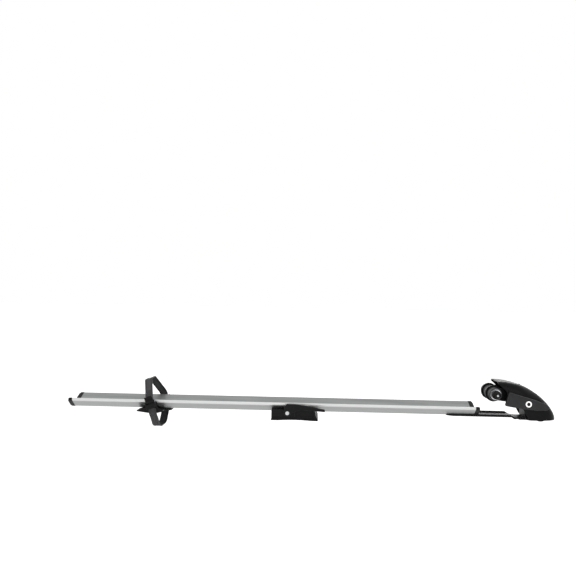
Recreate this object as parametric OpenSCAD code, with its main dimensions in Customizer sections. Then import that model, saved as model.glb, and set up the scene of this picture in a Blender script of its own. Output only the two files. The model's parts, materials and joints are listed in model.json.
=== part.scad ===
// Fork mounted roof bike carrier: an extruded wheel tray on two bar clamps,
// with a quick-release fork head in front and a sliding wheel strap behind.
// +X is the driving direction, +Z is up. The origin is on the front clamp bolt,
// in the plane of the front bar seat.

/* [Rail] */
// Length of the aluminium extrusion between its end caps
rail_len = 1092; // [900:1:1300]
// Width over the two lips
rail_w = 104; // [98:1:112]
// Height from the underside to the top of the lips
rail_h = 26; // [24:0.5:30]
// Width of the flat underside
rail_base_w = 48; // [42:1:54]
// Width of the flat floor of the tray
rail_floor_w = 36; // [30:1:44]
// Height of the upright part of each lip
rail_lip_h = 6.5; // [4:0.5:9]
// Thickness of a lip at its top
rail_lip_t = 3; // [2:0.5:4]
// Wall thickness of the extrusion
rail_wall = 2; // [1.6:0.1:2.4]
// Width of the T-slot mouth in the underside
slot_w = 11; // [9:0.5:13]
// Width of the T-slot cavity
slot_cavity_w = 22; // [18:0.5:26]
// Height of the T-slot cavity
slot_h = 9; // [7:0.5:11]
// Thickness of the T-slot lips
slot_lip = 2.4; // [2:0.1:3]

/* [End caps] */
// Length of an end cap outside the extrusion
cap_len = 9; // [6:0.5:14]
// Length of the plugs that hold a cap in the side chambers
cap_plug = 12; // [8:1:20]
// Rounding of the outer edge of a cap
cap_round = 5; // [1:0.5:7]

/* [Fork head] */
// Distance from the fork axle forward to the front clamp bolt
head_reach = 131; // [122:1:140]
// Height of the fork axle above the underside of the rail
axle_h = 60; // [56:1:64]
// Distance from the fork axle back to the face of the front end cap
rail_gap = 40; // [34:1:50]
// Length of the tongue under the extrusion
tongue_under = 77; // [60:1:100]
// Width of the tongue under the rail
tongue_w = 62; // [50:1:70]
// Thickness of the tongue
tongue_t = 2.6; // [2.6:0.1:3.5]
// Width of the flanges along the tongue's edges
flange_w = 3; // [2:0.5:4]
// Thickness of the foot plate
plate_t = 4; // [3:0.5:5]
// Drop from the tongue to the foot plate
tongue_drop = 3.5; // [2:0.5:5]
// Thickness of the rubber bar pads under the head
pad_t = 2.5; // [2:0.5:4]
// Height of the top of the hood above the bar seat
hood_top = 103; // [98:1:106]
// Half width of the hood at its widest
hood_half = 46; // [44:0.5:48]
// Length of the nose in front of the clamp bolt
hood_nose = 37; // [32:1:42]
// Wall thickness of the hood
hood_wall = 2.5; // [2:0.1:3]
// Distance between the two inner faces of the cheeks
cheek_gap = 40; // [36:1:44]
// Thickness of a cheek
cheek_t = 6; // [5:0.5:7]

/* [Fork clamp] */
// Drop-out spacing over the serrated seats
fork_w = 100; // [96:1:104]
// Diameter of the axle stubs that carry the drop-outs
axle_d = 9; // [8:0.5:10]
// Length of an axle stub outside its seat
axle_stub = 5; // [4:0.5:6]
// Diameter of the clamp barrel
barrel_d = 34; // [30:1:36]
// Thickness of a serrated seat
seat_t = 2; // [1.5:0.5:3]
// Gap that takes a drop-out on each side
dropout_gap = 6.5; // [6:0.5:9]
// Diameter of the skewer rod
skewer_d = 5; // [4.5:0.5:6]
// Largest diameter of the skewer nut and of the cam cap
nut_d = 23; // [20:1:26]
// Length of the skewer nut
nut_len = 13; // [11:1:16]
// Thickness of the cam cap
cap_t = 6.5; // [5:0.5:8]
// Length of the quick-release lever from its pin
qr_len = 100; // [85:1:110]
// Angle of the closed quick-release lever above the horizontal
qr_rise = 6; // [0:1:20]
// Throw of the quick-release cam
qr_throw = 1.2; // [0.8:0.1:1.5]

/* [Front bar clamp] */
// Height of the cam shaft above the bar seat
pivot_h = 38; // [36:0.5:40]
// Diameter of the cam shaft
shaft_d = 8; // [7:0.5:9]
// Throw of the clamp cam
cam_throw = 2.2; // [1.6:0.1:2.4]
// Thickness of the clamp lever at its widest
clamp_t = 11; // [9:0.5:13]
// Length of the clamp lever behind the cam shaft
clamp_len = 107; // [102:1:112]
// Height of the clamp lever's grip above the cam shaft
clamp_h = 40; // [36:1:44]
// Distance from the cam shaft back to the lock
lock_back = 46.6; // [44:0.5:50]
// Diameter of the lock housing
lock_d = 14; // [13:0.5:17]
// Diameter of the clamp bolt
bolt_d = 8; // [6:0.5:9]
// Length of the T-slot head along the car
head_len = 28; // [24:1:32]
// Width of the T-slot head
head_w = 19; // [16:0.5:22]
// Thickness of the bar's T-slot lips that the heads grip
track_lip = 2.2; // [1.8:0.1:3]
// Thickness of the T-slot heads
head_t = 3.8; // [3:0.2:5]

/* [Mid foot] */
// Distance from the front clamp bolt back to the mid foot's cam pin
bar_spread = 684; // [560:1:760]
// Length of the foot at its base
foot_len = 123; // [115:1:135]
// Distance from the rear end of the foot to its cam pin
foot_back = 43; // [40:1:50]
// Depth of the foot below the rail, without its pad
foot_drop = 16; // [15:0.5:19]
// Thickness of the foot's rubber pad
foot_pad_t = 4; // [3:0.5:6]
// Diameter of the foot's cam pin
pin_d = 7; // [6:0.5:8]
// Throw of the foot's cam
foot_throw = 1.6; // [1.2:0.1:1.8]
// Length of the foot's lever from its pin
foot_lever_len = 100; // [85:1:110]
// Thickness of the foot's lever
foot_lever_t = 6; // [5:0.5:8]

/* [Wheel carriage] */
// Distance from the front clamp bolt back to the strap buckle
strap_back = 1050; // [900:1:1120]
// Width of the wheel strap
strap_w = 21; // [18:0.5:24]
// Thickness of the wheel strap
strap_t = 3; // [2.5:0.5:4]
// Height of the strap's arch above its pivot
arch_h = 68; // [55:1:80]
// Rearward lean of the strap
strap_lean = 18; // [0:1:20]
// Forward offset of the strap's far end
strap_shear = 12; // [0:1:16]
// Depth of the stowed strap end below the rail
tail_drop = 49.5; // [40:0.5:60]
// Diameter of the strap's hinge pin
strap_pin_d = 5; // [4:0.5:6]
// Diameter of the buckle's pin
buckle_pin_d = 3.6; // [3:0.2:4.2]

/* [Clearances] */
// Radial running clearance of pins and shafts
run_gap = 0.05; // [0.02:0.01:0.1]
// Clearance between sliding or swinging neighbours
slide_gap = 0.3; // [0.2:0.05:0.4]

/* [Hidden] */

$fn = 48;
arc_steps = 5;
eps = 0.01;
black = [0.07, 0.07, 0.075];
dark = [0.13, 0.13, 0.14];
zinc = [0.72, 0.72, 0.74];

// Heights and stations that the pieces share
rail_z = pad_t + plate_t + tongue_drop;
axle_x = -head_reach;
axle_z = rail_z + axle_h;
rail_front = axle_x - rail_gap - cap_len;
rail_rear = rail_front - rail_len;
knee_h = rail_h - rail_lip_h;
floor_h = slot_lip + slot_h + 1.3 * rail_wall;
plate_top = pad_t + plate_t;
barrel_half = fork_w / 2 - seat_t;
nut_face = fork_w / 2 + dropout_gap;
cheek_in = cheek_gap / 2;
cheek_out = cheek_in + cheek_t;

// Points on the fillet of corner q between its neighbours p and s
function unit(v) = v / norm(v);
function fillet(p, q, s, r) =
    let(a = unit(p - q), b = unit(s - q), half = acos(a * b) / 2,
        c = q + unit(a + b) * r / sin(half),
        f = q + a * r / tan(half) - c, t = q + b * r / tan(half) - c,
        a0 = atan2(f.y, f.x), turn = atan2(t.y, t.x) - a0,
        d = turn > 180 ? turn - 360 : turn < -180 ? turn + 360 : turn)
    [for (i = [0:arc_steps]) c + r * [cos(a0 + d * i / arc_steps), sin(a0 + d * i / arc_steps)]];
function xy(p) = [p[0], p[1]];

// Closed outline from corners [x, y, radius]
function rounded(c) = let(n = len(c)) [for (i = [0:n - 1])
    each c[i][2] > 0 ? fillet(xy(c[(i + n - 1) % n]), xy(c[i]), xy(c[(i + 1) % n]), c[i][2]) : [xy(c[i])]];

// Open path from corners [x, y, radius], with sharp ends
function open_path(c) = let(n = len(c)) [for (i = [0:n - 1])
    each (i > 0 && i < n - 1) ? fillet(xy(c[i - 1]), xy(c[i]), xy(c[i + 1]), c[i][2]) : [xy(c[i])]];

// Corners of a rectangle about the origin
function corners(x, y, r) = [for (c = [[-1, -1], [1, -1], [1, 1], [-1, 1]]) [c.x * x, c.y * y, r]];

// Mirror image of half an outline, in reverse order
function mirrored(c) = [for (i = [len(c) - 1:-1:0]) [-c[i][0], c[i][1], c[i][2]]];

// Solid through closed rings with equal point counts, clockwise seen from the last one.
// The ends of a thin arch are closed by a strip between its two faces
module loft(rings, arch = false) {
    n = len(rings[0]);
    last = len(rings) - 1;
    sides = [for (k = [0:last - 1], i = [0:n - 1]) let(j = (i + 1) % n)
        each [[k * n + i, k * n + j, (k + 1) * n + j], [k * n + i, (k + 1) * n + j, (k + 1) * n + i]]];
    strip = [for (i = [0:n / 2 - 2]) each [[i, i + 1, n - 2 - i], [i, n - 2 - i, n - 1 - i]]];
    front = arch ? strip : [[for (i = [0:n - 1]) i]];
    back = [for (f = front) [for (i = [len(f) - 1:-1:0]) f[i]]];
    polyhedron([for (r = rings) each r],
        concat(sides, back, [for (f = front) [for (i = f) last * n + i]]));
}

// Extrusion of a Y-Z outline along X, from x0 to x1
module along_x(x0, x1) {
    translate([x0, 0, 0]) rotate([90, 0, 90]) linear_extrude(x1 - x0) children();
}
// Extrusion of an X-Z outline along Y, from y0 to y1
module along_y(y0, y1) {
    translate([0, y1, 0]) rotate([90, 0, 0]) linear_extrude(y1 - y0) children();
}
// Extrusion of an X-Y outline along Z, from z0 to z1
module along_z(z0, z1) {
    translate([0, 0, z0]) linear_extrude(z1 - z0) children();
}
// Round bar along Y or X
module rod_y(x, z, r, y0, y1, sides = 48) {
    translate([x, y1, z]) rotate([90, 0, 0]) cylinder(h = y1 - y0, r = r, $fn = sides);
}
module rod_x(y, z, r, x0, x1) {
    translate([x0, y, z]) rotate([0, 90, 0]) cylinder(h = x1 - x0, r = r);
}
module block(x, y, z) {
    translate([x[0], y[0], z[0]]) cube([x[1] - x[0], y[1] - y[0], z[1] - z[0]]);
}

// Rail section in Y and Z, with z = 0 at the underside
rail_half = [[rail_base_w / 2, 0, 3], [rail_w / 2, knee_h, 5], [rail_w / 2, rail_h, 1.3],
    [rail_w / 2 - rail_lip_t, rail_h, 1.3], [rail_floor_w / 2, floor_h, 12]];
function rail_outline() = rounded(concat(rail_half, mirrored(rail_half)));
// Line p-q moved sideways by d, and its height at a given y
function moved(p, q, d) = let(u = unit(q - p), n = [-u.y, u.x] * d) [p + n, q + n];
function height_at(line, y) = line[0].y
    + (y - line[0].x) * (line[1].y - line[0].y) / (line[1].x - line[0].x);
function reach_at(line, z) = line[0].x
    + (z - line[0].y) * (line[1].x - line[0].x) / (line[1].y - line[0].y);
// Hollow side chamber, drawn in by an extra gap
function chamber(gap) =
    let(w = rail_wall + gap,
        outer = moved(xy(rail_half[0]), xy(rail_half[1]), w),
        inner = moved(xy(rail_half[4]), xy(rail_half[3]), -w),
        y0 = slot_cavity_w / 2 + w, y1 = rail_w / 2 - w - 1)
    [[y0, w], [reach_at(outer, w), w], [y1, height_at(outer, y1)],
     [y1, height_at(inner, y1)], [reach_at(inner, floor_h - w), floor_h - w], [y0, floor_h - w]];

module rail() color("silver") translate([0, 0, rail_z]) along_x(rail_rear, rail_front) difference() {
    polygon(rail_outline());
    translate([-slot_w / 2, -1]) square([slot_w, slot_lip + 2]);
    translate([-slot_cavity_w / 2, slot_lip]) square([slot_cavity_w, slot_h]);
    for (side = [0, 1]) mirror([side, 0]) polygon(chamber(0));
}

// End cap drawn on the front end of the rail, its face at x = cap_len, with rounded outer edges
module end_cap() {
    function cap_face(low, high) = rounded([[-cap_len, low - eps, 0], [cap_len, low - eps, cap_round],
        [cap_len, high + eps, cap_round], [-cap_len, high + eps, 0]]);
    intersection() {
        along_x(0, cap_len) polygon(rail_outline());
        along_z(-1, rail_h + 1) polygon(cap_face(-rail_w / 2, rail_w / 2));
        along_y(-rail_w, rail_w) polygon(cap_face(0, rail_h));
    }
    for (side = [0, 1]) mirror([0, side, 0]) along_x(-cap_plug, eps) polygon(chamber(slide_gap));
}
module front_end_cap() color(black) translate([rail_front, 0, rail_z]) end_cap();
module rear_end_cap() color(black) translate([rail_rear, 0, rail_z]) mirror([1, 0, 0]) end_cap();

// Hood: height and half width of its section along X, and how square it is
hood_rear = axle_x + 9;
hood_flat = axle_x + 15;
hood_tip = hood_nose + 0.5;
function nose(x) = max(0, min(1, (x - hood_flat) / (hood_tip - hood_flat)));
function hood_rise(x) = (hood_top - pad_t) * pow(1 - pow(nose(x), 2.05), 0.67);
function hood_side(x) = hood_half * sqrt(1 - pow(nose(x), 8));
function hood_square(x) = let(s = max(0, min(1, (x - hood_rear) / 100))) 9 - 6.2 * s * s * (3 - 2 * s);
// Lower edge of the hood: an open mouth behind, then the skirt down to the foot plate
mouth_x = axle_x + 31;
skirt_x = -44;
hood_edge = [[hood_rear, hood_top - 6], [mouth_x, axle_z + 8], [mouth_x + 2, pivot_h + 6],
    [-70, pivot_h + 1], [-58, pivot_h - 4], [skirt_x, pad_t + 6], [skirt_x + 6, pad_t]];
function hood_low(x) = x > skirt_x + 6 ? pad_t : lookup(x, hood_edge);
// Wall measured along Z, so that the steep nose keeps its thickness
function hood_wall_z(x) =
    let(d = 0.5, slope = (hood_rise(min(x + d, hood_tip - eps)) - hood_rise(x - d)) / (2 * d))
    hood_wall * sqrt(1 + slope * slope);
hood_steps = 9;
function hood_arch(x, w, h, low) = let(n = hood_square(x), t0 = min(0.97, max(0, (low - pad_t) / h)))
    [for (i = [-hood_steps:hood_steps]) let(
        a = (hood_steps - abs(i)) / hood_steps,
        t = t0 + (1 - t0) * sin(90 * a),
        y = i == 0 ? 0 : w * pow(max(0, 1 - pow(t, n)), 1 / n))
        [x, sign(i) * y, pad_t + h * t]];
function hood_ring(x) = let(
    low = hood_low(x),
    out = hood_arch(x, hood_side(x), hood_rise(x), low),
    h = max(hood_rise(x) - hood_wall_z(x), low - pad_t + 0.8),
    in = hood_arch(x, hood_side(x) - hood_wall, h, low))
    concat(out, [for (i = [len(in) - 1:-1:0]) in[i]]);
hood_stations = [hood_rear, hood_rear + 11, mouth_x - 0.5, mouth_x + 2, -86, -70, -58, -51, skirt_x,
    skirt_x + 6, -26, -12, 0, for (d = [24, 17, 11, 7, 4, 1.5, 0]) hood_nose - d];
hood_screw_x = [-26, 12];
function hood_screw_y(x) = hood_side(x) - hood_wall - 4.5;
boss_r = 5.5;
boss_h = 14;
screw_r = 1.8;
hub_r = shaft_d / 2 + 4;
// The pin that the lock's tongue meets, on the near flank
tongue_half = 3;
striker_r = 2.5;
lock_z = pivot_h + 9.7;
striker_x = -lock_back - 6.4;
striker_z = lock_z + tongue_half + striker_r + 0.5;
lever_in = hood_half + slide_gap + 0.3;
tongue_y = lever_in + 1;
striker_tip = tongue_y + 2.2;

module hood() color(black) difference() {
    union() {
        loft([for (x = hood_stations) hood_ring(x)], arch = true);
        for (x = hood_screw_x, side = [-1, 1])
            translate([x, side * hood_screw_y(x), plate_top + slide_gap]) cylinder(h = boss_h, r = boss_r);
    }
    rod_y(0, pivot_h, hub_r + 2 * slide_gap, -hood_half - 5, -cheek_out);
    rod_y(striker_x, striker_z, striker_r, -hood_half - 5, -cheek_out);
    for (x = hood_screw_x, side = [-1, 1])
        translate([x, side * hood_screw_y(x), plate_top]) cylinder(h = boss_h - 3, r = screw_r);
}
module hood_screws() color(zinc) for (x = hood_screw_x, side = [-1, 1])
    translate([x, side * hood_screw_y(x), pad_t]) {
        cylinder(h = plate_t + boss_h - 4, r = screw_r);
        cylinder(h = 2, r = 2 * screw_r);
    }
module lock_striker() color(zinc) {
    rod_y(striker_x, striker_z, striker_r, -striker_tip, -cheek_out);
    rod_y(striker_x, striker_z, 2 * striker_r, -cheek_out - 2.5, -cheek_out);
}

// Fork head casting: flanged tongue, stepped foot plate, two cheeks and their webs
step_x = -84;
plate_front = hood_nose - 6;
tongue_rear = rail_front - tongue_under;
tongue_low = rail_z - tongue_t;
head_section = [[tongue_rear, rail_z - 1, 0], [tongue_rear, rail_z, 0], [step_x, rail_z, 8],
    [step_x + 14, plate_top, 8], [plate_front + 20, plate_top, 0], [plate_front + 20, pad_t, 0],
    [step_x + 8, pad_t, 4], [step_x + 2, tongue_low, 3], [tongue_rear + 18, tongue_low, 0]];
// Flange under the rail's sloping flank, and its outline from the side
function under_flank(y) = rail_z - 2 * slide_gap
    + (y - rail_base_w / 2) * 2 * knee_h / (rail_w - rail_base_w);
flange_in = tongue_w / 2 - flange_w;
flange_section = [[flange_in, tongue_low], [tongue_w / 2, tongue_low],
    [tongue_w / 2, under_flank(tongue_w / 2)], [flange_in, under_flank(flange_in)]];
flange_h = 6;
flange_side = [[tongue_rear, rail_z - 1, 0], [tongue_rear, rail_z + 1, 0],
    [tongue_rear + 30, rail_z + flange_h, 0], [step_x - 6, rail_z + flange_h, 0],
    [step_x + 8, tongue_low, 0], [tongue_rear + 18, tongue_low, 0]];
plate_rear = skirt_x + 2;
neck_half = 25;
function plate_half(x) = hood_side(x) - hood_wall - 2 * slide_gap;
plan_half = concat([[tongue_w / 2, tongue_rear, 6], [tongue_w / 2, step_x + 8, 8],
    [neck_half, step_x + 22, 8], [neck_half, plate_rear, 3]],
    [for (x = [plate_rear, -12, 6, 18, 26, plate_front]) [plate_half(x), x, 0]]);
head_plan = concat(plan_half, mirrored(plan_half));
cheek = [[-46, pad_t + 2, 2], [23, pad_t + 2, 3], [21, 20, 6], [12, 34, 6], [0, pivot_h + 9, 8],
    [-10, 52, 8], [-60, 74, 20], [axle_x + 17, axle_z + 17, 6], [axle_x + 19, axle_z - 20, 6],
    [-78, 47, 10], [-49, 37, 10]];
collar_r = barrel_d / 2 + 5;
web = [[axle_x + 14, axle_z - 20, 1], [-78, 47.5, 8], [-49.5, 37.5, 8], [-46, plate_top, 1],
    [-42, plate_top, 1], [-45.5, 40.5, 8], [-76, 51.5, 8], [axle_x + 16, axle_z - 16, 1]];
front_web_x = [18, 21.5];
front_web_h = 16;
bush_r = shaft_d / 2 + 2;
tongue_screw_x = [rail_front - 20, rail_front - 48];
tongue_screw_r = 2.5;
csk_r = 2 * tongue_screw_r;

module head_frame() color(black) difference() {
    union() {
        intersection() {
            along_y(-hood_half, hood_half) polygon(rounded(head_section));
            along_z(-1, rail_z + 1) polygon([for (p = rounded(head_plan)) [p.y, p.x]]);
        }
        intersection() {
            for (side = [0, 1]) mirror([0, side, 0])
                along_x(tongue_rear + 6, step_x + 8) polygon(flange_section);
            along_y(-hood_half, hood_half) polygon(rounded(flange_side));
        }
        for (side = [-1, 1]) translate([0, side * (cheek_in + cheek_t / 2), 0])
            along_y(-cheek_t / 2, cheek_t / 2) {
                polygon(rounded(cheek));
                translate([axle_x, axle_z]) circle(r = collar_r);
            }
        along_y(-cheek_in - eps, cheek_in + eps) polygon(rounded(web));
        block(front_web_x, [-cheek_in - eps, cheek_in + eps], [pad_t + 1, front_web_h]);
    }
    rod_y(axle_x, axle_z, barrel_d / 2, -hood_half, hood_half);
    rod_y(0, pivot_h, bush_r, -hood_half, hood_half);
    cylinder(h = rail_z, r = bolt_d / 2 + slide_gap);
    for (x = tongue_screw_x) translate([x, 0, rail_z - tongue_t]) {
        cylinder(h = tongue_t, r = tongue_screw_r);
        cylinder(h = tongue_screw_r, r1 = csk_r, r2 = tongue_screw_r);
    }
    for (x = hood_screw_x, side = [-1, 1]) translate([x, side * hood_screw_y(x), 0]) {
        cylinder(h = rail_z, r = screw_r);
        cylinder(h = pad_t + 2, r = 2 * screw_r);
    }
}
// Countersunk screw, its head flush at z = 0, with a hexagon socket
module countersunk(r, length) difference() {
    rotate_extrude() polygon([[0, 0], [2 * r, 0], [r, r], [r, length - 1], [r - 0.8, length], [0, length]]);
    translate([0, 0, -1]) cylinder(h = r, r = 0.9 * r, $fn = 6);
}
module tongue_screws() color(zinc) for (x = tongue_screw_x)
    translate([x, 0, rail_z - tongue_t]) countersunk(tongue_screw_r, tongue_t + slot_lip + slot_h - 2);
nut_half = slot_cavity_w / 2 - slide_gap;
module tongue_nuts() color(zinc) for (x = tongue_screw_x) difference() {
    along_z(rail_z + slot_lip, rail_z + slot_lip + slot_h - 4) translate([x, 0])
        square(2 * nut_half, center = true);
    translate([x, 0, rail_z]) cylinder(h = slot_lip + slot_h, r = tongue_screw_r);
}

// Rubber strips that sit on the bar, beside the clamp bolt
pad_in = head_w / 2 + 4;
pad_rear = -62;
module head_pad() along_z(0, pad_t) polygon(rounded([[pad_rear, pad_in, 3], [20, pad_in, 3],
    [20, pad_in + 16, 6], [pad_rear + 26, pad_in + 21, 5], [pad_rear + 18, neck_half - 1, 4],
    [pad_rear, neck_half - 1, 3]]));
module head_pad_far() color(dark) head_pad();
module head_pad_near() color(dark) mirror([0, 1, 0]) head_pad();

// Cam shaft, its flanged bushes and its retaining clip
flange_t = 1.5;
bush_len = cheek_t + flange_t;
cam_r = shaft_d / 2 + cam_throw + 0.5;
cam_angle = 50;
yoke_half = 6;
module cam_bushes() color(zinc) for (side = [0, 1]) mirror([0, side, 0]) difference() {
    union() {
        rod_y(0, pivot_h, bush_r, cheek_in, cheek_out);
        rod_y(0, pivot_h, bush_r + 2, cheek_out, cheek_out + flange_t);
    }
    rod_y(0, pivot_h, shaft_d / 2 + run_gap, 0, cheek_out + 5);
}
clip_y = cheek_in + bush_len + slide_gap;
clip_t = 1.2;
blind_y = lever_in + 3;
module cam_shaft() color(zinc) {
    rod_y(0, pivot_h, shaft_d / 2, -blind_y, clip_y + clip_t + 2);
    rod_y(cam_throw * cos(cam_angle), pivot_h + cam_throw * sin(cam_angle), cam_r,
        -yoke_half - 1, yoke_half + 1);
}
module shaft_clip() color(dark) difference() {
    rod_y(0, pivot_h, shaft_d / 2 + 2.2, clip_y, clip_y + clip_t);
    rod_y(0, pivot_h, shaft_d / 2, 0, clip_y + 5);
    block([-1.5, 1.5], [0, clip_y + 5], [pivot_h - 20, pivot_h]);
}

// Clamp lever on the near flank: a hollow grip that carries the lock
lever_out = lever_in + clamp_t;
skin_t = 3.5;
lever_face = [[-clamp_len, pivot_h + 3.5, 3], [-69, pivot_h - 2.5, 30], [-19, pivot_h - 7.5, 20],
    [6, pivot_h - 11, 9], [15, pivot_h, 9], [8, pivot_h + 12, 9], [-24, pivot_h + 19, 30],
    [10 - clamp_len, pivot_h + clamp_h, 4]];
grip_plan = [[-clamp_len - 5, -lever_in, 0], [20, -lever_in, 0], [20, -lever_in - 3.5, 0],
    [-22, -lever_out + 1.5, 60], [-64, -lever_out, 0], [-clamp_len - 5, -lever_out, 0]];
grip_pocket = [[skin_t - clamp_len, pivot_h + 7, 3], [-69, pivot_h + 1.5, 20], [-28, pivot_h - 2.5, 4],
    [-28, pivot_h + 17, 4], [10 + skin_t - clamp_len, pivot_h + clamp_h - skin_t, 3]];
boss_y = lever_in + 3.6;
lock_r = lock_d / 2;
notch_r = sqrt(pow(striker_x, 2) + pow(striker_z - pivot_h, 2));
module clamp_lever() color(black) difference() {
    union() {
        intersection() {
            along_y(-lever_out - 1, -lever_in) polygon(rounded(lever_face));
            along_z(0, hood_top) polygon(rounded(grip_plan));
        }
        rod_y(0, pivot_h, hub_r, -lever_in - eps, -cheek_out - flange_t - slide_gap);
    }
    along_y(-boss_y, -lever_in + eps) polygon(rounded(grip_pocket));
    along_y(-lever_out + skin_t, -boss_y + eps) difference() {
        polygon(rounded(grip_pocket));
        translate([-lock_back, lock_z]) circle(r = lock_r + 2.5);
    }
    rod_y(0, pivot_h, shaft_d / 2, -blind_y, 0);
    rod_y(-lock_back, lock_z, lock_r, -lever_out - 5, -lever_in);
    block([-notch_r - striker_r - 1.5, -notch_r + striker_r + 1.5], [-boss_y - 1, -lever_in + eps],
        [pivot_h - 8, pivot_h + 6]);
}
plug_r = lock_r - 2.5;
module lock_housing() color(zinc) difference() {
    union() {
        rod_y(-lock_back, lock_z, lock_r, -lever_out + 0.5, -boss_y);
        rod_y(-lock_back, lock_z, lock_r + 1.2, -lever_out - 1.2, -lever_out);
        rod_y(-lock_back, lock_z, lock_r, -lever_out, -lever_out + 1);
    }
    rod_y(-lock_back, lock_z, plug_r + run_gap, -lever_out - 5, 0);
}
module lock_plug() color("gainsboro") difference() {
    union() {
        rod_y(-lock_back, lock_z, plug_r, -lever_out - 1.5, -boss_y + 0.2);
        rod_y(-lock_back, lock_z, 2, -boss_y, -tongue_y);
    }
    translate([-lock_back, -lever_out, lock_z]) cube([2, 6, 1.4 * plug_r], center = true);
}
tongue_len = 8.5;
module lock_tongue() color(zinc) difference() {
    translate([-lock_back, 0, lock_z]) along_y(-tongue_y - 2, -tongue_y) {
        circle(r = tongue_half + 1);
        translate([-tongue_half, -tongue_len]) square([2 * tongue_half, tongue_len]);
    }
    rod_y(-lock_back, lock_z, 2, -boss_y, 0);
}

// Yoke round the cam, and the T-bolt that it lifts
cam_mid_x = cam_throw * (1 + cos(cam_angle)) / 2;
cam_rest_z = pivot_h + cam_throw * sin(cam_angle);
slot_half_x = cam_r + cam_throw * (1 - cos(cam_angle)) / 2 + 2 * slide_gap;
slot_half_z = cam_r + slide_gap;
yoke_wall = 1.8;
stem_h = 6;
yoke_low = cam_rest_z - slot_half_z - yoke_wall;
module front_yoke() color(zinc) difference() {
    union() {
        along_y(-yoke_half, yoke_half) translate([cam_mid_x, cam_rest_z])
            polygon(rounded(corners(slot_half_x + yoke_wall, slot_half_z + yoke_wall, 7.5)));
        translate([0, 0, yoke_low - stem_h]) cylinder(h = stem_h + 1, r = bolt_d / 2 + 2);
    }
    along_y(-yoke_half - 1, yoke_half + 1) translate([cam_mid_x, cam_rest_z])
        polygon(rounded(corners(slot_half_x, slot_half_z, 5.5)));
    translate([0, 0, yoke_low - stem_h - 1]) cylinder(h = stem_h + 1, r = bolt_d / 2);
}
adjust_t = 6.5;
belly_r = 24;
module front_t_bolt() color(dark) {
    translate([0, 0, -track_lip - eps]) cylinder(h = yoke_low + track_lip + eps, r = bolt_d / 2);
    intersection() {
        along_z(-track_lip - head_t, -track_lip) polygon(rounded(corners(head_len / 2, head_w / 2, 4)));
        rod_y(0, belly_r - track_lip - head_t, belly_r, -head_w, head_w, 180);
    }
}
module front_adjust_nut() color(zinc) translate([0, 0, yoke_low - stem_h - adjust_t]) difference() {
    cylinder(h = adjust_t, r = bolt_d * 0.94, $fn = 6);
    translate([0, 0, -1]) cylinder(h = adjust_t + 2, r = bolt_d / 2);
}

// Fork clamp: barrel, axle core and serrated seats
module axle_barrel() color(dark) translate([axle_x, 0, axle_z]) rotate([90, 0, 0]) rotate_extrude()
    polygon([[axle_d / 2, -barrel_half], [barrel_d / 2 - 1, -barrel_half], [barrel_d / 2, 1 - barrel_half],
        [barrel_d / 2, barrel_half - 1], [barrel_d / 2 - 1, barrel_half], [axle_d / 2, barrel_half]]);
core_half = fork_w / 2 + axle_stub;
module axle_core() color(zinc) difference() {
    rod_y(axle_x, axle_z, axle_d / 2, -core_half, core_half);
    rod_y(axle_x, axle_z, skewer_d / 2 + run_gap, -core_half - 1, core_half + 1);
}
seat_r = barrel_d / 2 - 3;
seat_teeth = 20;
cap_teeth = 12;
seat_groove = 0.8;
module fork_seats() color(zinc) for (side = [0, 1]) mirror([0, side, 0])
    translate([axle_x, 0, axle_z]) difference() {
        rod_y(0, 0, seat_r, barrel_half, fork_w / 2);
        rod_y(0, 0, axle_d / 2, 0, fork_w);
        for (i = [0:seat_teeth - 1]) rotate([0, i * 360 / seat_teeth, 0])
            translate([seat_r - 2, fork_w / 2, 0]) cube([8, seat_groove, 1.5 * seat_groove], center = true);
    }
qr_pin_r = 2.5;
qr_disc_r = 6.75;
qr_y = nut_face + cap_t + slide_gap + 0.1 + qr_disc_r + qr_throw;
module cam_cap() color(black) difference() {
    translate([axle_x, nut_face, axle_z]) rotate([-90, 0, 0]) rotate_extrude()
        polygon([[skewer_d / 2 + run_gap, 0], [nut_d / 2 - 0.8, 0], [nut_d / 2, 0.8],
            [nut_d / 2, cap_t - 2], [nut_d / 2 - 2, cap_t], [skewer_d / 2 + run_gap, cap_t]]);
    for (i = [0:cap_teeth - 1]) translate([axle_x, nut_face, axle_z]) rotate([0, i * 360 / cap_teeth, 0])
        translate([seat_r - 4, 0, 0]) rotate([45, 0, 0]) cube([8, seat_groove, seat_groove], center = true);
}
nut_y = -nut_face - nut_len;
qr_eye_half = 2.7;
qr_eye_r = 5;
module at_qr() {
    translate([axle_x, qr_y, axle_z]) rotate([0, -qr_rise, 0]) children();
}
module skewer_rod() color(zinc) difference() {
    union() {
        rod_y(axle_x, axle_z, skewer_d / 2, nut_y - 2, qr_y - qr_eye_r + 1);
        at_qr() translate([0, 0, -qr_eye_half]) cylinder(h = 2 * qr_eye_half, r = qr_eye_r);
    }
    at_qr() translate([0, 0, -10]) cylinder(h = 20, r = qr_pin_r + run_gap);
}
flutes = 8;
module skewer_nut() color(black) translate([axle_x, -nut_face, axle_z]) rotate([90, 0, 0]) difference() {
    rotate_extrude() polygon([[skewer_d / 2 + run_gap, 0], [nut_d / 2 - 0.8, 0], [nut_d / 2, 0.8],
        [nut_d / 2, 4], [nut_d / 2 - 3.5, nut_len - 2], [nut_d / 2 - 5, nut_len],
        [skewer_d / 2 + run_gap, nut_len]]);
    for (i = [0:flutes - 1]) rotate(i * 360 / flutes) translate([nut_d / 2 + 1.2, 0, 4])
        cylinder(h = nut_len, r = 2.4);
}
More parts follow.
